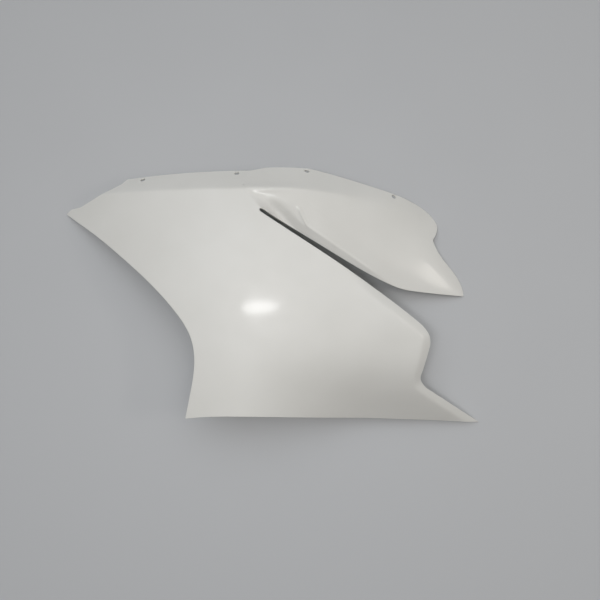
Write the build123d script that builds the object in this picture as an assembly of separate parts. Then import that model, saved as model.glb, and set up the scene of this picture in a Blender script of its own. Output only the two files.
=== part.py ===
from build123d import *
import math
import os

# Glass-fibre laminate of the one-piece panel, measured square to its skin
wall = 2.4

# Crown: where the panel stands proudest and how the skin falls away from it
crown_height = 108
crown_x = -30
crown_y = -13
crown_blend = 80
nose_radius = 600
rear_radius = 4000
side_radius = 1500

# Top flange, turned inward along a crease that runs level, then falls to the rear and softens there
flange_crease_y = 176.5
flange_knee_x = 70
flange_knee_blend = 30
flange_fall = 8
flange_angle = 42
flange_bend = 8
flange_bend_rear = 24
flange_soften = (90, 240)

# Lower roll, which grows from nothing at the front to its full angle at the rear
roll_crease_y = -115
roll_bend = 40
roll_angle = 33
roll_start_x = -70
roll_full_x = 190

# Rear edge of the main skin: a slight flare and then a lip turned inward
flare_width = 60
flare_bend = 30
flare_angle = 8
flare_start_x = 125
flare_full_x = 225
lip_width = 13
lip_bend = 6
lip_corner = 12
lip_angle = 33
lip_start_x = 100
lip_full_x = 190

# Vent slot between the main skin and the blade above it, in degrees below the level
slot_root = (-17, 142)
slot_angle = 33

# Root of the blade: the skin steps inward across a line from the slot's closed end up to the top edge
root_crest_x = -41
root_corner = 8
root_step = 8
root_step_top = 5
root_step_run = 9
root_step_fade = 25

# Blade: raked inward along the slot
rake_angle = 12.5
rake_start = 15
rake_bend = 40

# Shelf pressed into the blade above its lip, round at its front end and swept back below
shelf_width = 51
shelf_angle = 7
shelf_bend = 8
shelf_bend_rear = 15
shelf_soften = (150, 260)
shelf_nose = (48, 37)
shelf_nose_blend = 5
shelf_nose_round = 11
shelf_sweep = 1.7
shelf_run = 24

# Scoop ahead of the shelf, at the closed end of the slot
scoop_width = 42
scoop_angle = 11
scoop_bend = 16

# Lip of the blade along the slot, which softens toward the root and dies out at the rear
blade_lip_width = 19
blade_lip_angle = 24
blade_lip_bend = 7
blade_lip_bend_root = 12
blade_lip_soften = (40, 90)
blade_lip_rise = 25
blade_lip_end = (220, 280)

# Rear fold of the blade, soft at its top and crisp at the tip
fold_top = (222, 149)
fold_tip = (332, 7)
fold_angle = 22
fold_fade = 0.25
fold_bend_top = 40
fold_bend_tip = 12

# Plan outline, x to the rear of the motorcycle and y up it
front_tip = (-365, 147)
front_tip_top = (-355, 155)
nose_bend = (-335, 157)
nose_sag = (-295, 175.5)
nose_top = (-258, 196)
flange_front = (-252, 205)
flange_arch = (-144, 211)
flange_rear = (-35, 213)
jog_top = (-9, 219.5)
brow_peak = (5, 220)
brow_rear = (63, 219)
blade_top = [(101, 210), (156, 195), (214, 178), (258, 160), (286, 136)]
blade_corner = (291, 125)
blade_notch_run = (287, 111)
blade_notch = (280, 100)
blade_rear = [(284, 89), (306, 58), (324, 37), (335, 16)]
blade_tip = (338, 2)
blade_under = [(297, 5), (253, 9.5), (224, 14), (210, 18.5), (182, 30.5), (126, 60.5), (72, 92), (19, 124)]
slot_end_blade = (-12, 143)
slot_end = (-17, 141.5)
slot_end_main = (-14, 137)
slot_under = [(20, 114.5), (72, 80.5), (123, 46.5), (175, 10), (213, -18.5)]
lip_shoulder = (240, -40)
rear_corner = [(250, -50), (258, -63.5), (259.5, -72)]
back_top = (258, -83)
back_low = (248.5, -123)
back_hollow = [(247, -134), (253, -144.5)]
tail_root = (267, -156)
tail_tip = (365, -220)
hem = [(268, -213), (184, -209), (100, -203), (-57, -192), (-104, -193.5)]
hem_front = (-138.5, -197.5)
front_edge = [(-134.5, -179.5), (-128, -150), (-121.5, -101), (-128, -63), (-152, -24.5), (-198.5, 24.5),
              (-246.5, 65), (-304, 108), (-340, 131)]

# Fixing holes through the top flange, each by its place along the panel and its distance from the edge
hole_diameter = 8
hole_edge_distance = 6.5
hole_places = [-220, -57, 60, 210]

# The three points of the rim that the panel rests on when it lies on its hollow side
rest_front = front_tip
rest_tail = tail_tip
rest_blade = (280.5, 143)

# How far the working surfaces reach past the outline, and the spacing of their points
margin = 20
depth_below = 60
main_pitch = 10
main_crease_pitch = 5
blade_pitch = 8
blade_row_pitch = 6
fit_tolerance = 0.3


def tangent(degrees):
    return math.tan(math.radians(degrees))


def bend(distance, blend):
    # Nothing before a crease and the distance itself past it, rounded over the blend
    return 0.5 * (distance + math.hypot(distance, blend))


def ramp(start, end, value):
    share = min(max((value - start) / (end - start), 0), 1)
    return share * share * (3 - 2 * share)


def between(first, last, span, value):
    return first + (last - first) * ramp(*span, value)


def larger(one, other, blend):
    return 0.5 * (one + other + math.hypot(one - other, blend))


def smaller(one, other, blend):
    return 0.5 * (one + other - math.hypot(one - other, blend))


def beyond(start, end, x, y):
    # Distance of a point to the left of the way from start to end
    run_x = end[0] - start[0]
    run_y = end[1] - start[1]
    return (run_x * (y - start[1]) - run_y * (x - start[0])) / math.hypot(run_x, run_y)


def slot_place(x, y):
    # Distance along the slot from its closed end, and out from it on the blade's side
    turn = math.radians(slot_angle)
    right = x - slot_root[0]
    up = y - slot_root[1]
    along = right * math.cos(turn) - up * math.sin(turn)
    out = right * math.sin(turn) + up * math.cos(turn)
    return along, out


def plan_place(along, out):
    turn = math.radians(slot_angle)
    x = slot_root[0] + along * math.cos(turn) + out * math.sin(turn)
    y = slot_root[1] - along * math.sin(turn) + out * math.cos(turn)
    return x, y


def flange_crease(x):
    return flange_crease_y - tangent(flange_fall) * bend(x - flange_knee_x, flange_knee_blend)


def crown_skin(x, y):
    # The gentle dome that both skins share, with the top flange folded down
    ahead = bend(crown_x - x, crown_blend)
    behind = bend(x - crown_x, crown_blend)
    height = crown_height - ahead ** 2 / (2 * nose_radius) - behind ** 2 / (2 * rear_radius)
    height -= (y - crown_y) ** 2 / (2 * side_radius)
    blend = between(flange_bend, flange_bend_rear, flange_soften, x)
    return height - tangent(flange_angle) * bend(y - flange_crease(x), blend)


def past_rear_edge(x, y):
    # Distance past the line of the rear edge: the slot, the back and the top of the tail
    slot_side = beyond(slot_under[2], lip_shoulder, x, y)
    back_side = beyond(back_low, back_top, x, y) * -1
    tail_side = beyond(tail_root, tail_tip, x, y)
    return smaller(larger(slot_side, back_side, lip_corner), tail_side, lip_corner)


def main_skin(x, y):
    height = crown_skin(x, y)
    roll = tangent(roll_angle) * ramp(roll_start_x, roll_full_x, x)
    height -= roll * bend(roll_crease_y - y, roll_bend)
    past_lip = past_rear_edge(x, y) + lip_width
    flare = tangent(flare_angle) * (bend(past_lip + flare_width, flare_bend) - bend(past_lip, flare_bend))
    lip = tangent(lip_angle) * (bend(past_lip, lip_bend) - bend(past_lip - 2 * lip_width, lip_bend))
    height += flare * ramp(flare_start_x, flare_full_x, x)
    return height - lip * ramp(lip_start_x, lip_full_x, x)


def past_root(x, y):
    # Distance past the root line, which climbs forward to the flange's crease and then to the top edge
    crest = (root_crest_x, flange_crease_y)
    return smaller(beyond(crest, slot_root, x, y), beyond(flange_rear, crest, x, y), root_corner)


def blade_skin(x, y):
    along, out = slot_place(x, y)
    height = crown_skin(x, y)
    step = root_step_top + (root_step - root_step_top) * math.exp(-(out / root_step_fade) ** 2)
    height -= step * math.tanh(past_root(x, y) / root_step_run)
    height -= tangent(rake_angle) * bend(along - rake_start, rake_bend)
    pressed = shelf_and_scoop(along, out) + blade_lip(along, out)
    return height - pressed * ramp(0, blade_lip_rise, past_root(x, y)) - rear_fold(x, y)


def shelf_and_scoop(along, out):
    # The scoop's fall to the slot gives way to the shelf's behind the shelf's front end
    above = out - shelf_nose[1]
    front = shelf_nose[0] + shelf_sweep * bend(-above, shelf_nose_blend)
    front += bend(above, shelf_nose_blend) ** 2 / (2 * shelf_nose_round)
    share = ramp(front, front + shelf_run, along)
    blend = between(shelf_bend, shelf_bend_rear, shelf_soften, along)
    shelf = tangent(shelf_angle) * bend(shelf_width - out, blend)
    scoop = tangent(scoop_angle) * bend(scoop_width - out, scoop_bend)
    return scoop + (shelf - scoop) * share


def blade_lip(along, out):
    slope = tangent(blade_lip_angle) * (1 - ramp(*blade_lip_end, along))
    blend = between(blade_lip_bend_root, blade_lip_bend, blade_lip_soften, along)
    return slope * bend(blade_lip_width - out, blend)


def rear_fold(x, y):
    run_x = fold_tip[0] - fold_top[0]
    run_y = fold_tip[1] - fold_top[1]
    share = ((x - fold_top[0]) * run_x + (y - fold_top[1]) * run_y) / (run_x ** 2 + run_y ** 2)
    blend = fold_bend_top + (fold_bend_tip - fold_bend_top) * min(max(share, 0), 1)
    slope = tangent(fold_angle) * ramp(-fold_fade, fold_fade, share)
    return slope * bend(beyond(fold_top, fold_tip, x, y), blend)


def slopes(skin, x, y):
    reach = 0.05
    along_x = (skin(x + reach, y) - skin(x - reach, y)) / (2 * reach)
    along_y = (skin(x, y + reach) - skin(x, y - reach)) / (2 * reach)
    return along_x, along_y


def inner_height(skin, x, y):
    # The inner face lies one wall below the outer one, measured square to it
    return skin(x, y) - wall * math.hypot(1, *slopes(skin, x, y))


def rest_plane():
    # The plane through the three resting points, as slopes along x and y and a height at the origin
    rests = [(*rest_front, main_skin), (*rest_tail, main_skin), (*rest_blade, blade_skin)]
    feet = [Vector(x, y, inner_height(skin, x, y)) for x, y, skin in rests]
    square = (feet[1] - feet[0]).cross(feet[2] - feet[0])
    slope_x = -square.X / square.Z
    slope_y = -square.Y / square.Z
    return slope_x, slope_y, feet[0].Z - slope_x * feet[0].X - slope_y * feet[0].Y


rest_slope_x, rest_slope_y, rest_height = rest_plane()


def floor_below(x, y):
    return rest_slope_x * x + rest_slope_y * y + rest_height


def outer_main(x, y):
    return main_skin(x, y) - floor_below(x, y)


def inner_main(x, y):
    return inner_height(main_skin, x, y) - floor_below(x, y)


def outer_blade(x, y):
    return blade_skin(x, y) - floor_below(x, y)


def inner_blade(x, y):
    return inner_height(blade_skin, x, y) - floor_below(x, y)


def spread(start, end, pitch):
    gaps = max(1, round((end - start) / pitch))
    return [start + (end - start) * step / gaps for step in range(gaps + 1)]


def main_face(height):
    columns = spread(front_tip[0] - margin, tail_tip[0] + margin, main_pitch)
    crease_low = flange_crease_y - margin
    crease_high = flange_crease_y + margin
    rows = spread(tail_tip[1] - margin, crease_low, main_pitch)
    rows += spread(crease_low, crease_high, main_crease_pitch)[1:]
    rows += spread(crease_high, brow_peak[1] + margin, main_pitch)[1:]
    points = [[(x, y, height(x, y)) for y in rows] for x in columns]
    return Face.make_surface_from_array_of_points(points, tol=fit_tolerance)


def blade_face(height):
    # Laid out along the slot, from the slot's line to past the blade's top edge
    first = slot_place(*flange_rear)[0] - margin
    last = slot_place(*blade_tip)[0] + margin
    width = max(slot_place(*point)[1] for point in blade_top) + margin
    points = []
    for along in spread(first, last, blade_pitch):
        places = [plan_place(along, out) for out in spread(0, width, blade_row_pitch)]
        points.append([(x, y, height(x, y)) for x, y in places])
    return Face.make_surface_from_array_of_points(points, tol=fit_tolerance)


def body_below(main_height, blade_height):
    # Everything under the main skin, less what stands above the blade's skin
    room = crown_height + depth_below
    under_main = extrude(main_face(main_height), amount=room, dir=(0, 0, -1))
    over_blade = extrude(blade_face(blade_height), amount=room, dir=(0, 0, 1))
    return under_main - over_blade


def plan_face():
    with BuildSketch() as plan:
        with BuildLine():
            Polyline(front_tip, front_tip_top, nose_bend)
            Spline(nose_bend, nose_sag, nose_top)
            Line(nose_top, flange_front)
            Spline(flange_front, flange_arch, flange_rear)
            Line(flange_rear, jog_top)
            Spline(jog_top, brow_peak, brow_rear)
            Spline(brow_rear, *blade_top, blade_corner)
            Spline(blade_corner, blade_notch_run, blade_notch)
            Spline(blade_notch, *blade_rear, blade_tip)
            Spline(blade_tip, *blade_under, slot_end_blade)
            ThreePointArc(slot_end_blade, slot_end, slot_end_main)
            Spline(slot_end_main, *slot_under, lip_shoulder)
            Spline(lip_shoulder, *rear_corner, back_top)
            Line(back_top, back_low)
            Spline(back_low, *back_hollow, tail_root)
            Line(tail_root, tail_tip)
            Spline(tail_tip, *hem, hem_front)
            Spline(hem_front, *front_edge, front_tip)
        make_face()
    return plan.sketch


def fixing_drill(plan, x):
    # A drill square to the flange, set in from the panel's edge
    chord = Line((x, crown_y), (x, brow_peak[1] + margin)) & plan
    y = chord.bounding_box().max.Y - hole_edge_distance
    skin = outer_blade if past_root(x, y) > 0 else outer_main
    slope_x, slope_y = slopes(skin, x, y)
    seat = Plane(origin=(x, y, skin(x, y)), z_dir=(-slope_x, -slope_y, 1))
    return seat * Cylinder(hole_diameter / 2, 4 * wall)


def side_fairing():
    plan = plan_face()
    block = extrude(plan, amount=crown_height + depth_below)
    block = Pos(0, 0, -depth_below / 2) * block
    panel = block & body_below(outer_main, outer_blade)
    panel -= body_below(inner_main, inner_blade)
    for x in hole_places:
        panel -= fixing_drill(plan, x)
    return panel


os.makedirs("parts", exist_ok=True)
export_step(side_fairing(), "parts/side_fairing.step")
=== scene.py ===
import math
import bpy
import numpy as np
from mathutils.geometry import delaunay_2d_cdt
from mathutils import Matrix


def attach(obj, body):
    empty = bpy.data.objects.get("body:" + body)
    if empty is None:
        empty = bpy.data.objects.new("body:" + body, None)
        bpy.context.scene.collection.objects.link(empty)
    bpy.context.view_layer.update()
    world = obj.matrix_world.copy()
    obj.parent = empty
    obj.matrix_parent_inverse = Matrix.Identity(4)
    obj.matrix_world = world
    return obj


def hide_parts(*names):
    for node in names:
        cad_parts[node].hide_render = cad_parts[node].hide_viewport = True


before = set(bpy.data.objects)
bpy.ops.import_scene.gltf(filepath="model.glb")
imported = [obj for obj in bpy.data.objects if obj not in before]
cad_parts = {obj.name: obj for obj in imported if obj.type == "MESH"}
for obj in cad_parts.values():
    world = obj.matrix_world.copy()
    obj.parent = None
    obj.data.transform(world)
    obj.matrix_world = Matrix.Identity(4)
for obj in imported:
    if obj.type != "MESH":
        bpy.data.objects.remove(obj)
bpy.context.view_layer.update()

mm = 0.001

# Millimetres and degrees: x to the rear of the motorcycle, y up it, z outboard.
# A pair such as run, fade or soften says where a change starts and where it is complete.
panel = {
    "wall": 2.4,
    "edgeRound": 0.7,        # rounding of the trimmed edge
    "cornerEase": 1.3,       # how far the outline's corners are eased
    "outlineStep": 0.25,     # spacing of points while the outline is drawn and eased
    "edgeStep": 1.9,         # spacing of points round the finished outline
    "finePitch": 1.8,        # spacing of points on the creases, doubled on the open skin
    "fineCurve": 0.018,      # a skin bent tighter than this, per millimetre, gets the fine spacing
    "edgeClear": 0.8,        # share of the fine spacing that is kept free beside an edge
    "weld": 0.01,            # points nearer than this become one
    "crown": {"height": 108, "x": -30, "y": -13, "blend": 80,
              "nose": 600, "rear": 4000, "side": 1500},
    "flange": {"creaseY": 176.5, "kneeX": 70, "kneeBlend": 30, "fall": 8, "angle": 42,
               "bend": 2.6, "rearBend": 24, "soften": (90, 240)},
    "roll": {"creaseY": -115, "bend": 40, "angle": 33, "run": (-70, 190)},
    "flare": {"width": 60, "bend": 30, "angle": 8, "run": (125, 225)},
    "rearLip": {"width": 13, "bend": 4, "corner": 12, "angle": 33, "run": (100, 190)},
    # Lines that the slot's lower edge, the back and the top of the tail follow
    "rearEdge": {"slotSide": ((123, 46.5), (240, -40)), "backSide": ((248.5, -123), (258, -83)),
                 "tailSide": ((267, -156), (365, -220))},
    "slot": {"root": (-17, 142), "angle": 33},
    # The blade leaves the main skin past a corner on the flange's crease
    "root": {"crestX": -48, "flangeRear": (-35, 213), "corner": 8, "sink": 5, "run": (30, 150)},
    "rake": {"angle": 13, "start": 28, "bend": 20, "run": (0, 25)},
    # Shelf on the blade above its lip, and the scoop ahead of it at the slot's closed end
    "shelf": {"width": 51, "angle": 7, "bend": 3, "rearBend": 15, "soften": (150, 260),
              "front": (15, 60)},
    "shelfNose": {"place": (48, 37), "sweep": 1.7, "round": 11, "bend": 5, "squareShare": 0.6},
    "scoop": {"angle": 11.5, "bend": 2.5, "wall": (5, 13), "wallRun": (0, 30), "fade": (-10, 90)},
    "bladeLip": {"width": 19, "angle": 24, "bend": 3, "rootWidth": 26, "rootAngle": 32,
                 "rootBend": 10, "leastShare": 0.05, "taper": (-40, 30), "ease": (15, 75),
                 "end": (220, 280)},
    # Low beads on the shelf's edges, and a ridge under the flange's crease
    "beadHalf": 2.6,
    "lowerBead": {"height": 0.6, "aboveLip": 1, "front": (-8, 4), "rear": (195, 225)},
    "noseBead": {"height": 1.0, "foot": (-4, 2), "top": (34, 42)},
    "upperBead": {"height": 0.25, "rear": (90, 130)},
    "ridge": {"height": 1.8, "half": 7, "below": -0.8, "front": (-50, -36), "rear": (-10, 90)},
    "fold": {"top": (222, 149), "tip": (332, 7), "angle": 22, "fade": 0.25,
             "bendTop": 40, "bendTip": 5},
    "rests": {"front": (-365, 147), "tail": (365, -220), "blade": (280.5, 143)},
    "holes": {"diameter": 8, "fromEdge": 6.5, "places": (-220, -57, 60, 210), "sides": 40,
              "edgeReach": 3},
    # The outline as runs of points: a run of two is straight, a longer one is a smooth curve
    "outline": [
        [(-365, 147), (-355, 155)],
        [(-355, 155), (-335, 157)],
        [(-335, 157), (-295, 175.5), (-258, 196)],
        [(-258, 196), (-252, 205)],
        [(-252, 205), (-144, 211), (-35, 213)],
        [(-35, 213), (-9, 219.5)],
        [(-9, 219.5), (5, 220), (63, 219)],
        [(63, 219), (101, 210), (156, 195), (214, 178), (258, 160), (286, 136), (291, 125)],
        [(291, 125), (287, 111), (280, 100)],
        [(280, 100), (284, 89), (306, 58), (324, 37), (335, 16), (338, 2)],
        [(338, 2), (297, 5), (253, 9.5), (224, 14), (210, 18.5), (182, 30.5), (126, 60.5),
         (72, 92), (19, 124), (-12, 143)],
        [(-12, 143), (-17, 141.5), (-14, 137)],
        [(-14, 137), (20, 114.5), (72, 80.5), (123, 46.5), (175, 10), (213, -18.5), (240, -40)],
        [(240, -40), (250, -50), (258, -63.5), (259.5, -72), (258, -83)],
        [(258, -83), (248.5, -123)],
        [(248.5, -123), (247, -134), (253, -144.5), (267, -156)],
        [(267, -156), (365, -220)],
        [(365, -220), (268, -213), (184, -209), (100, -203), (-57, -192), (-104, -193.5),
         (-138.5, -197.5)],
        [(-138.5, -197.5), (-134.5, -179.5), (-128, -150), (-121.5, -101), (-128, -63),
         (-152, -24.5), (-198.5, 24.5), (-246.5, 65), (-304, 108), (-340, 131), (-365, 147)],
    ],
}


def tangent(degrees):
    return math.tan(math.radians(degrees))


def bend(distance, blend):
    return 0.5 * (distance + np.hypot(distance, blend))   # rounded crease


def ramp(start, end, value):
    share = np.clip((value - start) / (end - start), 0, 1)
    return share * share * (3 - 2 * share)


def between(first, last, share):
    return first + (last - first) * share


def larger(one, other, blend):
    return 0.5 * (one + other + np.hypot(one - other, blend))


def smaller(one, other, blend):
    return 0.5 * (one + other - np.hypot(one - other, blend))


def beyond(start, end, x, y):
    # Distance to the left of a line
    runX = end[0] - start[0]
    runY = end[1] - start[1]
    return (runX * (y - start[1]) - runY * (x - start[0])) / math.hypot(runX, runY)


def slotPlace(x, y):
    # Place along the slot and out from it, toward the blade
    turn = math.radians(panel["slot"]["angle"])
    right = x - panel["slot"]["root"][0]
    up = y - panel["slot"]["root"][1]
    along = right * math.cos(turn) - up * math.sin(turn)
    out = right * math.sin(turn) + up * math.cos(turn)
    return along, out


def creaseLine(x):
    flange = panel["flange"]
    knee = bend(x - flange["kneeX"], flange["kneeBlend"])
    return flange["creaseY"] - tangent(flange["fall"]) * knee


def crownSkin(x, y):
    crown = panel["crown"]
    flange = panel["flange"]
    ahead = bend(crown["x"] - x, crown["blend"])
    behind = bend(x - crown["x"], crown["blend"])
    height = crown["height"] - ahead ** 2 / (2 * crown["nose"]) - behind ** 2 / (2 * crown["rear"])
    height = height - (y - crown["y"]) ** 2 / (2 * crown["side"])
    blend = between(flange["bend"], flange["rearBend"], ramp(*flange["soften"], x))
    return height - tangent(flange["angle"]) * bend(y - creaseLine(x), blend)


def mainSkin(x, y):
    roll = panel["roll"]
    flare = panel["flare"]
    lip = panel["rearLip"]
    edge = panel["rearEdge"]
    rolled = tangent(roll["angle"]) * ramp(*roll["run"], x)
    rolled = rolled * bend(roll["creaseY"] - y, roll["bend"])
    height = crownSkin(x, y) - rolled
    slotSide = beyond(*edge["slotSide"], x, y)
    backSide = -beyond(*edge["backSide"], x, y)
    tailSide = beyond(*edge["tailSide"], x, y)
    pastEdge = smaller(larger(slotSide, backSide, lip["corner"]), tailSide, lip["corner"])
    pastLip = pastEdge + lip["width"]
    flared = bend(pastLip + flare["width"], flare["bend"]) - bend(pastLip, flare["bend"])
    turned = bend(pastLip, lip["bend"]) - bend(pastLip - 2 * lip["width"], lip["bend"])
    rise = tangent(flare["angle"]) * flared
    drop = tangent(lip["angle"]) * turned
    return height + rise * ramp(*flare["run"], x) - drop * ramp(*lip["run"], x)


def pastRoot(x, y):
    root = panel["root"]
    crest = (root["crestX"], panel["flange"]["creaseY"])
    rootSide = beyond(crest, panel["slot"]["root"], x, y)
    flangeSide = beyond(root["flangeRear"], crest, x, y)
    return smaller(rootSide, flangeSide, root["corner"])


def pastNose(along, out):
    # Distance past the shelf's front end, which is round at its top and swept back below
    nose = panel["shelfNose"]
    above = out - nose["place"][1]
    edge = nose["place"][0] + nose["sweep"] * bend(-above, nose["bend"])
    edge = edge + bend(above, nose["bend"]) ** 2 / (2 * nose["round"])
    return (along - edge) * nose["squareShare"]   # about square to the edge


def bead(distance, half):
    return np.exp(-(distance / half) ** 2)


def shelfDepth(x, y):
    shelf = panel["shelf"]
    half = panel["beadHalf"]
    along, out = slotPlace(x, y)
    past = pastNose(along, out)
    onShelf = ramp(*shelf["front"], along)
    blend = between(shelf["bend"], shelf["rearBend"], ramp(*shelf["soften"], along))
    pressed = tangent(shelf["angle"]) * bend(shelf["width"] - out, blend)
    lower = panel["lowerBead"]
    foot = panel["bladeLip"]["width"] + lower["aboveLip"]
    lowerRise = lower["height"] * bead(out - foot, half) * ramp(*lower["front"], past)
    lowerRise = lowerRise * (1 - ramp(*lower["rear"], along))
    nose = panel["noseBead"]
    noseRise = nose["height"] * bead(past, half)
    noseRise = noseRise * ramp(foot + nose["foot"][0], foot + nose["foot"][1], out)
    noseRise = noseRise * (1 - ramp(*nose["top"], out))
    upper = panel["upperBead"]
    upperRise = upper["height"] * bead(out - shelf["width"], half) * onShelf
    upperRise = upperRise * (1 - ramp(*upper["rear"], along))
    ridge = panel["ridge"]
    ridgeRise = ridge["height"] * bead(creaseLine(x) - y - ridge["below"], ridge["half"])
    ridgeRise = ridgeRise * ramp(*ridge["front"], x) * (1 - ramp(*ridge["rear"], x))
    return pressed * onShelf - np.maximum(lowerRise, noseRise) - upperRise - ridgeRise


def rearFold(x, y):
    fold = panel["fold"]
    runX = fold["tip"][0] - fold["top"][0]
    runY = fold["tip"][1] - fold["top"][1]
    share = (x - fold["top"][0]) * runX + (y - fold["top"][1]) * runY
    share = share / (runX ** 2 + runY ** 2)
    blend = between(fold["bendTop"], fold["bendTip"], np.clip(share, 0, 1))
    turn = tangent(fold["angle"]) * ramp(-fold["fade"], fold["fade"], share)
    return turn * bend(beyond(fold["top"], fold["tip"], x, y), blend)


def bladeSkin(x, y):
    root = panel["root"]
    rake = panel["rake"]
    scoop = panel["scoop"]
    lip = panel["bladeLip"]
    along, out = slotPlace(x, y)
    past = pastRoot(x, y)
    below = creaseLine(x) - y
    raked = tangent(rake["angle"]) * bend(along - rake["start"], rake["bend"])
    height = crownSkin(x, y) - root["sink"] * ramp(*root["run"], past)
    height = height - raked * ramp(*rake["run"], past)
    # The lip is wider and softer at the root, and comes to nothing at the crest
    eased = ramp(*lip["ease"], along)
    narrow = between(lip["leastShare"], 1, ramp(*lip["taper"], along))
    width = between(lip["rootWidth"], lip["width"], eased) * narrow
    blend = between(lip["rootBend"], lip["bend"], eased) * narrow
    slope = between(tangent(lip["rootAngle"]), tangent(lip["angle"]), eased)
    drop = slope * (1 - ramp(*lip["end"], along)) * bend(width - out, blend)
    scooped = tangent(scoop["angle"]) * (1 - ramp(*scoop["fade"], x)) * bend(below, scoop["bend"])
    drop = drop + scooped
    wall = between(*scoop["wall"], ramp(*scoop["wallRun"], below))   # longer lower down
    height = height - drop * (1 - np.exp(-(np.maximum(past, 0) / wall) ** 2))
    return height - shelfDepth(x, y) - rearFold(x, y)


def panelSkin(x, y):
    out = slotPlace(x, y)[1]
    onBlade = (out > 0) & (pastRoot(x, y) > 0)
    return np.where(onBlade, bladeSkin(x, y), mainSkin(x, y))


def skinSlopes(x, y):
    reach = 0.05
    alongX = (panelSkin(x + reach, y) - panelSkin(x - reach, y)) / (2 * reach)
    alongY = (panelSkin(x, y + reach) - panelSkin(x, y - reach)) / (2 * reach)
    return alongX, alongY


def skinNormals(x, y):
    slopeX, slopeY = skinSlopes(x, y)
    normals = np.stack([restTilt[0] - slopeX, restTilt[1] - slopeY, np.ones_like(x)], axis=1)
    return normals / np.linalg.norm(normals, axis=1)[:, None]


def skinCurve(x, y):
    # Tightest bend of the skin near a point
    reach = 1.0
    here = panelSkin(x, y)
    overX = panelSkin(x + reach, y) + panelSkin(x - reach, y) - 2 * here
    overY = panelSkin(x, y + reach) + panelSkin(x, y - reach) - 2 * here
    return np.maximum(np.abs(overX), np.abs(overY)) / reach ** 2


# The plane through the three rim points that the panel lies on
def restingPlane():
    feet = []
    for place in panel["rests"].values():
        x = np.array([float(place[0])])
        y = np.array([float(place[1])])
        slopeX, slopeY = skinSlopes(x, y)
        drop = panel["wall"] * math.sqrt(1 + slopeX[0] ** 2 + slopeY[0] ** 2)
        feet.append(np.array([x[0], y[0], panelSkin(x, y)[0] - drop]))
    square = np.cross(feet[1] - feet[0], feet[2] - feet[0])
    tiltX = -square[0] / square[2]
    tiltY = -square[1] / square[2]
    return tiltX, tiltY, feet[0][2] - tiltX * feet[0][0] - tiltY * feet[0][1]


restTilt = restingPlane()


def skinHeight(x, y):
    return panelSkin(x, y) - restTilt[0] * x - restTilt[1] * y - restTilt[2]


# Smooth curve through a run of points, leaving its ends along the first and last three
def smoothRun(points, step):
    spots = np.array(points, float)
    gaps = np.linalg.norm(np.diff(spots, axis=0), axis=1)
    if len(spots) == 2:
        count = max(2, int(gaps[0] / step))
        return spots[0] + (spots[1] - spots[0]) * (np.arange(count) / count)[:, None]
    reached = np.concatenate([[0], np.cumsum(gaps)])
    last = len(spots) - 1
    rates = np.diff(spots, axis=0) / gaps[:, None]
    rows = np.zeros((last + 1, last + 1))
    right = np.zeros((last + 1, 2))
    rows[0, 0] = rows[-1, -1] = 1
    right[0] = rates[0] + (rates[0] - rates[1]) * gaps[0] / (gaps[0] + gaps[1])
    right[-1] = rates[-1] + (rates[-1] - rates[-2]) * gaps[-1] / (gaps[-1] + gaps[-2])
    for i in range(1, last):
        rows[i, i - 1] = gaps[i]
        rows[i, i] = 2 * (gaps[i - 1] + gaps[i])
        rows[i, i + 1] = gaps[i - 1]
        right[i] = 3 * (gaps[i] * rates[i - 1] + gaps[i - 1] * rates[i])
    lean = np.linalg.solve(rows, right)
    count = max(2, int(reached[-1] / step))
    at = np.arange(count) / count * reached[-1]
    i = np.clip(np.searchsorted(reached, at, side="right") - 1, 0, last - 1)
    share = ((at - reached[i]) / gaps[i])[:, None]
    left = 1 - share
    gap = gaps[i][:, None]
    return ((1 + 2 * share) * left ** 2 * spots[i] + share * left ** 2 * gap * lean[i]
            + share * share * (3 - 2 * share) * spots[i + 1]
            + share * share * (share - 1) * gap * lean[i + 1])


def evenLoop(loop, step):
    closed = np.vstack([loop, loop[:1]])
    run = np.concatenate([[0], np.cumsum(np.linalg.norm(np.diff(closed, axis=0), axis=1))])
    count = round(run[-1] / step)
    at = np.arange(count) * run[-1] / count
    return np.stack([np.interp(at, run, closed[:, 0]), np.interp(at, run, closed[:, 1])], axis=1)


def loopOutward(loop):
    # The loop runs clockwise, so its outside is on the left of the way round
    way = np.roll(loop, -1, axis=0) - np.roll(loop, 1, axis=0)
    way = way / np.linalg.norm(way, axis=1)[:, None]
    return np.stack([-way[:, 1], way[:, 0]], axis=1)


# The outline with its corners eased, set in by the edge's rounding
def trimLine():
    step = panel["outlineStep"]
    ease = panel["cornerEase"]
    rough = np.vstack([smoothRun(run, step) for run in panel["outline"]])
    fine = evenLoop(rough, step)
    spread = int(3 * ease / step)
    shifts = range(-spread, spread + 1)
    weights = np.exp(-0.5 * (np.array(shifts) * step / ease) ** 2)
    weights = weights / weights.sum()
    eased = sum(weight * np.roll(fine, shift, axis=0) for shift, weight in zip(shifts, weights))
    loop = evenLoop(eased, panel["edgeStep"])
    return loop - loopOutward(loop) * panel["edgeRound"]


def insideLoop(loop, points):
    inside = np.zeros(len(points), bool)
    x, y = points[:, 0], points[:, 1]
    for (ax, ay), (bx, by) in zip(loop, np.roll(loop, -1, axis=0)):
        cross = (ay > y) != (by > y)
        if cross.any():
            hit = ax + (y[cross] - ay) * (bx - ax) / (by - ay)
            inside[cross] ^= x[cross] < hit
    return inside


def nearLoop(loop, points, reach):
    cells = {}
    for x, y in loop:
        cells.setdefault((int(x // reach), int(y // reach)), []).append((x, y))
    near = np.zeros(len(points), bool)
    for i, (x, y) in enumerate(points):
        column, row = int(x // reach), int(y // reach)
        for across in (-1, 0, 1):
            for up in (-1, 0, 1):
                for edgeX, edgeY in cells.get((column + across, row + up), ()):
                    if (edgeX - x) ** 2 + (edgeY - y) ** 2 < reach * reach:
                        near[i] = True
    return near


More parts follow.
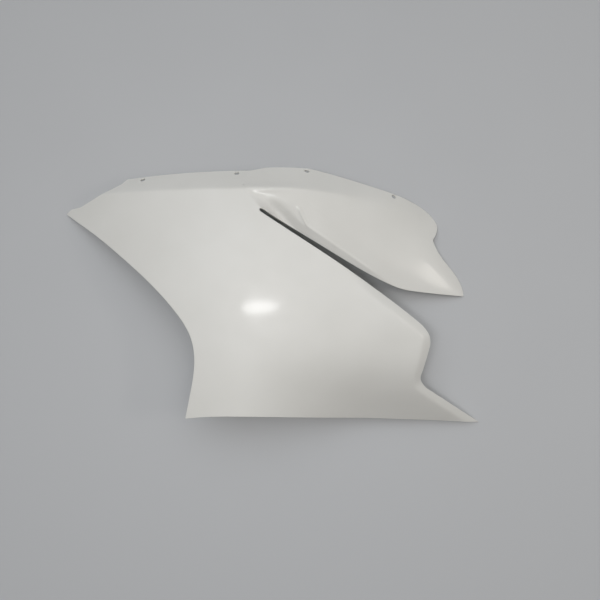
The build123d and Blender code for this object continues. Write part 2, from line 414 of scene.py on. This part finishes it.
# Each fixing hole is a true circle square to the flange, seen in plan
def holeRings(loop):
    holes = panel["holes"]
    radius = holes["diameter"] / 2 + panel["edgeRound"]
    turn = np.linspace(0, 2 * math.pi, holes["sides"], endpoint=False)
    rings = []
    for place in holes["places"]:
        above = loop[np.abs(loop[:, 0] - place) < holes["edgeReach"]]
        top = above[:, 1].max() + panel["edgeRound"]
        x = np.array([float(place)])
        y = np.array([top - holes["fromEdge"]])
        normal = skinNormals(x, y)[0]
        sideways = np.cross((0, 1, 0), normal)
        sideways = sideways / np.linalg.norm(sideways)
        upward = np.cross(normal, sideways)
        circle = radius * (np.cos(turn)[:, None] * sideways + np.sin(turn)[:, None] * upward)
        rings.append(circle[:, :2] + np.array([place, y[0]]))
    return rings


def skinPoints(loop, rings):
    pitch = panel["finePitch"]
    rowShare = 0.866   # height of an even triangle
    low = loop.min(axis=0)
    high = loop.max(axis=0)
    rows = np.arange(int((high[1] - low[1]) / (pitch * rowShare)) + 1)
    columns = np.arange(int((high[0] - low[0]) / pitch) + 2)
    row, column = np.meshgrid(rows, columns, indexing="ij")
    # Each row is shifted, so that neither the fine nor the coarse points stand in squares
    x = low[0] + (column + 0.5 * (row % 2) - 0.25 * ((row // 2) % 2)) * pitch
    y = low[1] + row * pitch * rowShare
    coarse = ((row % 2 == 0) & (column % 2 == (row // 2) % 2)).ravel()
    points = np.stack([x.ravel(), y.ravel()], axis=1)
    inside = insideLoop(loop, points)
    points, coarse = points[inside], coarse[inside]
    keep = coarse | (skinCurve(points[:, 0], points[:, 1]) > panel["fineCurve"])
    points = points[keep]
    for ring in rings:
        points = points[~insideLoop(ring, points)]
    return points[~nearLoop(np.vstack([loop] + rings), points, panel["edgeClear"] * pitch)]


# The skin in plan: its points, its faces and the way out across the edge at each point
def trimmedSkin():
    loop = trimLine()
    rings = holeRings(loop)
    points = skinPoints(loop, rings)
    plan = np.vstack([loop] + rings + [points])
    edges = []
    first = 0
    for ring in [loop] + rings:
        count = len(ring)
        edges += [(first + i, first + (i + 1) % count) for i in range(count)]
        first += count
    result = delaunay_2d_cdt([tuple(p) for p in plan], edges, [], 0, 1e-5)
    flat = np.array([tuple(p) for p in result[0]])
    faces = np.array(result[2])
    # Only a face with all its corners on the trim can lie outside it or in a hole
    origin = np.array([min(ids) if ids else -1 for ids in result[3]])
    onTrim = (origin[faces] < first).all(axis=1)
    middles = flat[faces].mean(axis=1)
    keep = ~onTrim
    suspects = np.flatnonzero(onTrim)
    good = insideLoop(loop, middles[suspects])
    for ring in rings:
        good &= ~insideLoop(ring, middles[suspects])
    keep[suspects] = good
    faces = faces[keep]
    # Faces that run clockwise are turned, so that all face outboard
    a, b, c = flat[faces[:, 0]], flat[faces[:, 1]], flat[faces[:, 2]]
    over = (b[:, 0] - a[:, 0]) * (c[:, 1] - a[:, 1]) - (b[:, 1] - a[:, 1]) * (c[:, 0] - a[:, 0])
    faces[over < 0] = faces[over < 0][:, ::-1]
    outs = [loopOutward(loop)]
    for ring in rings:
        inward = ring.mean(axis=0) - ring
        outs.append(inward / np.linalg.norm(inward, axis=1)[:, None])
    outs = np.vstack(outs)
    outward = np.zeros((len(flat), 2))
    onEdge = (origin >= 0) & (origin < first)
    outward[onEdge] = outs[origin[onEdge]]
    return flat, faces, outward


def vectorAttribute(mesh, name, values):
    attribute = mesh.attributes.new(name, "FLOAT_VECTOR", "POINT")
    attribute.data.foreach_set("vector", np.ascontiguousarray(values, np.float32).ravel())


def skinSheet():
    flat, faces, outward = trimmedSkin()
    x, y = flat[:, 0], flat[:, 1]
    places = np.stack([x, y, skinHeight(x, y)], axis=1) * mm
    normals = skinNormals(x, y)
    # The way out is laid in the skin
    edgeOut = np.concatenate([outward, np.zeros((len(flat), 1))], axis=1)
    edgeOut = edgeOut - normals * (edgeOut * normals).sum(axis=1)[:, None]
    size = np.linalg.norm(edgeOut, axis=1)[:, None]
    edgeOut = np.where(size > 1e-6, edgeOut / np.maximum(size, 1e-6), 0)
    mesh = bpy.data.meshes.new("sideFairingSkin")
    mesh.from_pydata(places.tolist(), [], faces.tolist())
    mesh.update()
    vectorAttribute(mesh, "skinNormal", normals)
    vectorAttribute(mesh, "edgeOut", edgeOut)
    print("skin sheet:", len(flat), "points,", len(faces), "faces")
    return mesh


def addNode(tree, kind, **settings):
    node = tree.nodes.new(kind)
    for name, value in settings.items():
        setattr(node, name, value)
    return node


# Lays up the panel: the trimmed edge is drawn down in rounds, and the inner face is set one wall
# below the skin
def laminateTree(gelcoat, cutEdge, glassMat):
    tree = bpy.data.node_groups.new("laminate", "GeometryNodeTree")
    sockets = tree.interface
    sockets.new_socket("Skin", in_out="INPUT", socket_type="NodeSocketGeometry")
    sockets.new_socket("Wall", in_out="INPUT", socket_type="NodeSocketFloat")
    sockets.new_socket("Edge round", in_out="INPUT", socket_type="NodeSocketFloat")
    sockets.new_socket("Panel", in_out="OUTPUT", socket_type="NodeSocketGeometry")
    link = tree.links.new
    entry = addNode(tree, "NodeGroupInput")
    outlet = addNode(tree, "NodeGroupOutput")

    def stored(name, kind):
        node = addNode(tree, "GeometryNodeInputNamedAttribute", data_type=kind)
        node.inputs["Name"].default_value = name
        return node.outputs[0]

    def scaled(vector, amount):
        node = addNode(tree, "ShaderNodeVectorMath", operation="SCALE")
        link(vector, node.inputs[0])
        if isinstance(amount, (int, float)):
            node.inputs["Scale"].default_value = amount
        else:
            link(amount, node.inputs["Scale"])
        return node.outputs[0]

    def added(one, other):
        node = addNode(tree, "ShaderNodeVectorMath", operation="ADD")
        link(one, node.inputs[0])
        link(other, node.inputs[1])
        return node.outputs[0]

    def times(one, other):
        node = addNode(tree, "ShaderNodeMath", operation="MULTIPLY")
        link(one, node.inputs[0])
        node.inputs[1].default_value = other
        return node.outputs[0]

    def less(one, other):
        node = addNode(tree, "ShaderNodeMath", operation="SUBTRACT")
        link(one, node.inputs[0])
        link(other, node.inputs[1])
        return node.outputs[0]

    normal = stored("skinNormal", "FLOAT_VECTOR")
    outward = stored("edgeOut", "FLOAT_VECTOR")

    def facing(geometry, selection, outShare, upShare):
        node = addNode(tree, "GeometryNodeStoreNamedAttribute", data_type="FLOAT_VECTOR",
                       domain="POINT")
        node.inputs["Name"].default_value = "facing"
        link(geometry, node.inputs["Geometry"])
        if selection:
            link(selection, node.inputs["Selection"])
        link(added(scaled(outward, outShare), scaled(normal, upShare)), node.inputs["Value"])
        return node.outputs[0]

    def painted(geometry, selection, material):
        node = addNode(tree, "GeometryNodeSetMaterial")
        node.inputs["Material"].default_value = material
        link(geometry, node.inputs["Geometry"])
        if selection:
            link(selection, node.inputs["Selection"])
        return node.outputs[0]

    skin = facing(painted(entry.outputs["Skin"], None, gelcoat), None, 0, 1)
    neighbours = addNode(tree, "GeometryNodeInputMeshEdgeNeighbors")
    rim = addNode(tree, "FunctionNodeCompare", data_type="INT", operation="EQUAL")
    link(neighbours.outputs[0], rim.inputs[2])
    rim.inputs[3].default_value = 1
    roundBy = entry.outputs["Edge round"]
    straight = less(entry.outputs["Wall"], times(roundBy, 2))
    body = skin
    edge = rim.outputs[0]
    # Over the outer round, down the cut and under the inner round
    turns = [0, 30, 60, 90]
    rounds = [(a, b, None) for a, b in zip(turns, turns[1:])]
    rounds += [(90, 90, straight)] + [(a + 90, b + 90, None) for a, b in zip(turns, turns[1:])]
    for start, end, fall in rounds:
        a, b = math.radians(start), math.radians(end)
        if fall:
            move = scaled(scaled(normal, -1), fall)
        else:
            across = scaled(scaled(outward, math.sin(b) - math.sin(a)), roundBy)
            down = scaled(scaled(normal, math.cos(b) - math.cos(a)), roundBy)
            move = added(across, down)
        pull = addNode(tree, "GeometryNodeExtrudeMesh", mode="EDGES")
        link(body, pull.inputs["Mesh"])
        link(edge, pull.inputs["Selection"])
        pull.inputs["Offset Scale"].default_value = 0
        shift = addNode(tree, "GeometryNodeSetPosition")
        link(pull.outputs["Mesh"], shift.inputs["Geometry"])
        link(pull.outputs["Top"], shift.inputs["Selection"])
        link(move, shift.inputs["Offset"])
        body = facing(shift.outputs[0], pull.outputs["Top"], math.sin(b), math.cos(b))
        body = painted(body, pull.outputs["Side"], gelcoat if start < 90 else cutEdge)
        edge = pull.outputs["Top"]

    inner = addNode(tree, "GeometryNodeSetPosition")
    link(skin, inner.inputs["Geometry"])
    link(scaled(scaled(normal, -1), entry.outputs["Wall"]), inner.inputs["Offset"])
    flip = addNode(tree, "GeometryNodeFlipFaces")
    link(facing(inner.outputs[0], None, 0, -1), flip.inputs[0])
    mark = addNode(tree, "GeometryNodeStoreNamedAttribute", data_type="BOOLEAN", domain="FACE")
    mark.inputs["Name"].default_value = "hollowSide"
    link(flip.outputs[0], mark.inputs["Geometry"])
    mark.inputs["Value"].default_value = True

    join = addNode(tree, "GeometryNodeJoinGeometry")
    link(mark.outputs[0], join.inputs[0])
    link(body, join.inputs[0])
    weld = addNode(tree, "GeometryNodeMergeByDistance")
    link(join.outputs[0], weld.inputs["Geometry"])
    weld.inputs["Distance"].default_value = panel["weld"] * mm
    real = addNode(tree, "GeometryNodeRealizeInstances")
    link(weld.outputs[0], real.inputs[0])
    hollow = stored("hollowSide", "BOOLEAN")
    link(painted(real.outputs[0], hollow, glassMat), outlet.inputs["Panel"])
    return tree


def laidUp(skin, tree):
    form = bpy.data.objects.new("sideFairingForm", skin)
    bpy.context.scene.collection.objects.link(form)
    layup = form.modifiers.new("laminate", "NODES")
    layup.node_group = tree
    sizes = {"Wall": panel["wall"] * mm, "Edge round": panel["edgeRound"] * mm}
    for item in tree.interface.items_tree:
        if item.name in sizes:
            layup[item.identifier] = sizes[item.name]
    ready = form.evaluated_get(bpy.context.evaluated_depsgraph_get())
    mesh = bpy.data.meshes.new_from_object(ready)
    form.modifiers.remove(layup)
    bpy.data.objects.remove(form)
    mesh.name = "sideFairingPanel"
    # The shading follows the skin's own formulas
    facing = np.zeros(len(mesh.vertices) * 3, np.float32)
    mesh.attributes["facing"].data.foreach_get("vector", facing)
    mesh.polygons.foreach_set("use_smooth", np.ones(len(mesh.polygons), bool))
    mesh.normals_split_custom_set_from_vertices(facing.reshape(-1, 3).tolist())
    for name in ("facing", "skinNormal", "edgeOut", "hollowSide"):
        if name in mesh.attributes:
            mesh.attributes.remove(mesh.attributes[name])
    piece = bpy.data.objects.new("sideFairingPanel", mesh)
    bpy.context.scene.collection.objects.link(piece)
    triangles = sum(len(face.vertices) - 2 for face in mesh.polygons)
    print("laid up:", len(mesh.vertices), "points,", triangles, "triangles")
    return piece


def newMaterial(name):
    material = bpy.data.materials.new(name)
    material.use_nodes = True
    tree = material.node_tree
    return material, tree, tree.nodes["Principled BSDF"]


# A noise on the object's own coordinates, in features per metre
def noise(tree, scale, detail=2.0, rough=0.5, stretch=(1, 1, 1), turn=0):
    place = addNode(tree, "ShaderNodeTexCoord")
    mapping = addNode(tree, "ShaderNodeMapping", vector_type="TEXTURE")   # turns, then stretches
    mapping.inputs["Rotation"].default_value = (0, 0, math.radians(turn))
    mapping.inputs["Scale"].default_value = stretch
    tree.links.new(place.outputs["Object"], mapping.inputs["Vector"])
    texture = addNode(tree, "ShaderNodeTexNoise")
    texture.inputs["Scale"].default_value = scale
    texture.inputs["Detail"].default_value = detail
    texture.inputs["Roughness"].default_value = rough
    tree.links.new(mapping.outputs[0], texture.inputs["Vector"])
    return texture.outputs["Fac"]


# What a noise's values mostly span
noiseSpan = (0.3, 0.7)
noiseMiddle = (0.35, 0.65)


def spreadOver(tree, value, span, result=(0, 1)):
    node = addNode(tree, "ShaderNodeMapRange")
    tree.links.new(value, node.inputs["Value"])
    node.inputs["From Min"].default_value, node.inputs["From Max"].default_value = span
    node.inputs["To Min"].default_value, node.inputs["To Max"].default_value = result
    return node.outputs[0]


def blended(tree, share, one, other):
    node = addNode(tree, "ShaderNodeMix", data_type="RGBA")
    tree.links.new(share, node.inputs[0])
    for socket, colour in ((node.inputs[6], one), (node.inputs[7], other)):
        if hasattr(colour, "links"):
            tree.links.new(colour, socket)
        else:
            socket.default_value = (*colour, 1)
    return node.outputs[2]


def relief(tree, heights, distance):
    below = None
    for height, strength in heights:
        bump = addNode(tree, "ShaderNodeBump")
        bump.inputs["Strength"].default_value = strength
        bump.inputs["Distance"].default_value = distance * mm
        tree.links.new(height, bump.inputs["Height"])
        if below:
            tree.links.new(below, bump.inputs["Normal"])
        below = bump.outputs[0]
    return below


def dressed(tree, shader, colour, rough, normal):
    tree.links.new(colour, shader.inputs["Base Color"])
    tree.links.new(rough, shader.inputs["Roughness"])
    tree.links.new(normal, shader.inputs["Normal"])


gelcoatLook = {
    "white": (0.748, 0.742, 0.718),
    "shade": (0.722, 0.716, 0.69),   # slight unevenness of the gelcoat's thickness
    "shadePerMetre": 9,
    "rough": (0.40, 0.48),
    "roughPerMetre": 35,
    "coat": 0.2,
    "coatRough": 0.12,
    "mat": 0.03,                     # glass mat showing through as a faint unevenness
    "matPerMetre": 90,
    "peel": 0.05,                    # fine ripple of the polished surface
    "peelPerMetre": 420,
    "relief": 0.4,                   # millimetres
}


def gelcoatMaterial():
    look = gelcoatLook
    material, tree, shader = newMaterial("whiteGelcoat")
    cloud = spreadOver(tree, noise(tree, look["shadePerMetre"], detail=3), noiseMiddle)
    patches = noise(tree, look["roughPerMetre"], detail=4)
    bumps = [(noise(tree, look["matPerMetre"]), look["mat"]),
             (noise(tree, look["peelPerMetre"], detail=1), look["peel"])]
    dressed(tree, shader, blended(tree, cloud, look["white"], look["shade"]),
            spreadOver(tree, patches, noiseSpan, look["rough"]),
            relief(tree, bumps, look["relief"]))
    shader.inputs["Coat Weight"].default_value = look["coat"]
    shader.inputs["Coat Roughness"].default_value = look["coatRough"]
    return material


cutEdgeLook = {
    "resin": (0.66, 0.64, 0.57),
    "glass": (0.74, 0.74, 0.70),
    "strandsPerMetre": 500,
    "rough": (0.5, 0.7),
    "strand": 0.4,                   # strength of the strands' relief
    "relief": 0.2,                   # millimetres
}


def cutEdgeMaterial():
    look = cutEdgeLook
    material, tree, shader = newMaterial("trimmedLaminate")
    strands = noise(tree, look["strandsPerMetre"], detail=3, rough=0.6)
    share = spreadOver(tree, strands, noiseMiddle)
    dressed(tree, shader, blended(tree, share, look["resin"], look["glass"]),
            spreadOver(tree, strands, noiseSpan, look["rough"]),
            relief(tree, [(strands, look["strand"])], look["relief"]))
    return material


glassMatLook = {
    "resin": (0.58, 0.58, 0.50),
    "glass": (0.70, 0.71, 0.66),
    "rough": (0.32, 0.55),
    "roughPerMetre": 60,
    "strandsPerMetre": 520,
    "strandStretch": (16, 1, 5),     # how many times longer a strand's mark is along each axis
    "strandSpan": (0.5, 0.68),       # values of the noise over which a strand shows
    "turns": (8, 52, 97, 141),       # ways the strands lie
    "strand": 0.5,                   # strength of the strands' relief, and of the lumps'
    "lump": 0.25,
    "lumpsPerMetre": 45,
    "relief": 0.5,                   # millimetres
}


def glassMatMaterial():
    look = glassMatLook
    material, tree, shader = newMaterial("glassMatLaminate")
    strands = None
    for turn in look["turns"]:
        streak = noise(tree, look["strandsPerMetre"], detail=1.5, stretch=look["strandStretch"],
                       turn=turn)
        streak = spreadOver(tree, streak, look["strandSpan"])
        if strands is None:
            strands = streak
        else:
            node = addNode(tree, "ShaderNodeMath", operation="MAXIMUM")
            tree.links.new(strands, node.inputs[0])
            tree.links.new(streak, node.inputs[1])
            strands = node.outputs[0]
    patches = noise(tree, look["roughPerMetre"], detail=3)
    lumps = noise(tree, look["lumpsPerMetre"], detail=3)
    dressed(tree, shader, blended(tree, strands, look["resin"], look["glass"]),
            spreadOver(tree, patches, noiseSpan, look["rough"]),
            relief(tree, [(lumps, look["lump"]), (strands, look["strand"])], look["relief"]))
    return material


laminate = laminateTree(gelcoatMaterial(), cutEdgeMaterial(), glassMatMaterial())
sideFairing = laidUp(skinSheet(), laminate)
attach(sideFairing, "root")
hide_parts("side_fairing")
print("panel in place")

# Places and sizes in metres, lamps in watts
studio = {
    "floor": (0.50, 0.51, 0.53),
    "floorHalf": 4.0,
    "floorRough": (0.65, 0.75),
    "floorPatchesPerMetre": 6,
    "skyCool": (1.0, 1.04, 1.07),    # the sky overhead, cooler to the front and the panel's top
    "skyWarm": (1.03, 0.94, 0.83),
    "warmToward": (0.6, -0.8, 0),
    "warmRun": (-0.45, 0.45),
    "skySide": (0.035, 0.034, 0.032),
    "skyLean": (-0.05, 0.34),
    "skyFrom": 0.72,                 # height, with the lean, where the overhead sky starts
    "skyStrength": 1.72,
    "keyPlace": (-0.12, -0.038, 1.2),
    "keySize": (0.245, 0.077),
    "keyPower": 2.3,
    "sidePlace": (1.48, -0.02, 1.2),
    "sideAim": (0.1, 0, 0.1),
    "sideSize": (0.34, 0.2),
    "sidePower": 2.8,
    "sideColour": (1.0, 0.95, 0.88),
}


def floorPiece():
    half = studio["floorHalf"]
    corners = [(-half, -half, 0), (half, -half, 0), (half, half, 0), (-half, half, 0)]
    mesh = bpy.data.meshes.new("floor")
    mesh.from_pydata(corners, [], [(0, 1, 2, 3)])
    material, tree, shader = newMaterial("paleFloor")
    shader.inputs["Base Color"].default_value = (*studio["floor"], 1)
    patches = noise(tree, studio["floorPatchesPerMetre"])
    rough = spreadOver(tree, patches, noiseSpan, studio["floorRough"])
    tree.links.new(rough, shader.inputs["Roughness"])
    mesh.materials.append(material)
    floor = bpy.data.objects.new("floor", mesh)
    bpy.context.scene.collection.objects.link(floor)


def areaLight(name, place, aim, size, power, colour=(1, 1, 1)):
    data = bpy.data.lights.new(name, "AREA")
    data.shape = "ELLIPSE"
    data.size, data.size_y = size
    data.energy = power
    data.color = colour
    lamp = bpy.data.objects.new(name, data)
    lamp.location = place
    way = np.array(aim) - np.array(place)
    flat = math.hypot(way[0], way[1])
    turn = math.atan2(way[1], way[0]) - math.pi / 2 if flat > 1e-6 else 0
    lamp.rotation_euler = (math.atan2(flat, -way[2]), 0, turn)
    bpy.context.scene.collection.objects.link(lamp)


def studioLight():
    world = bpy.data.worlds.new("studio")
    bpy.context.scene.world = world
    world.use_nodes = True
    tree = world.node_tree
    place = addNode(tree, "ShaderNodeTexCoord")

    def toward(direction):
        node = addNode(tree, "ShaderNodeVectorMath", operation="DOT_PRODUCT")
        tree.links.new(place.outputs["Generated"], node.inputs[0])
        node.inputs[1].default_value = direction
        return node.outputs["Value"]

    up = spreadOver(tree, toward((*studio["skyLean"], 1)), (studio["skyFrom"], 1.0))
    warm = spreadOver(tree, toward(studio["warmToward"]), studio["warmRun"])
    overhead = blended(tree, warm, studio["skyCool"], studio["skyWarm"])
    back = tree.nodes["Background"]
    tree.links.new(blended(tree, up, studio["skySide"], overhead), back.inputs["Color"])
    back.inputs["Strength"].default_value = studio["skyStrength"]
    keyAim = (*studio["keyPlace"][:2], 0)   # straight down
    areaLight("keyStrip", studio["keyPlace"], keyAim, studio["keySize"], studio["keyPower"])
    areaLight("sideStrip", studio["sidePlace"], studio["sideAim"], studio["sideSize"],
              studio["sidePower"], studio["sideColour"])


cameraView = {
    "place": (0.0483, -0.0043, 1.0),
    "width": 1.0644,                 # what the square picture spans on the floor, in metres
    "sensor": 36,
}


def overheadCamera():
    data = bpy.data.cameras.new("overhead")
    data.sensor_width = cameraView["sensor"]
    data.lens = cameraView["sensor"] * cameraView["place"][2] / cameraView["width"]
    camera = bpy.data.objects.new("overhead", data)
    camera.location = cameraView["place"]
    bpy.context.scene.collection.objects.link(camera)
    bpy.context.scene.camera = camera


floorPiece()
studioLight()
overheadCamera()
bpy.context.scene.view_settings.view_transform = "Standard"
print("studio ready")
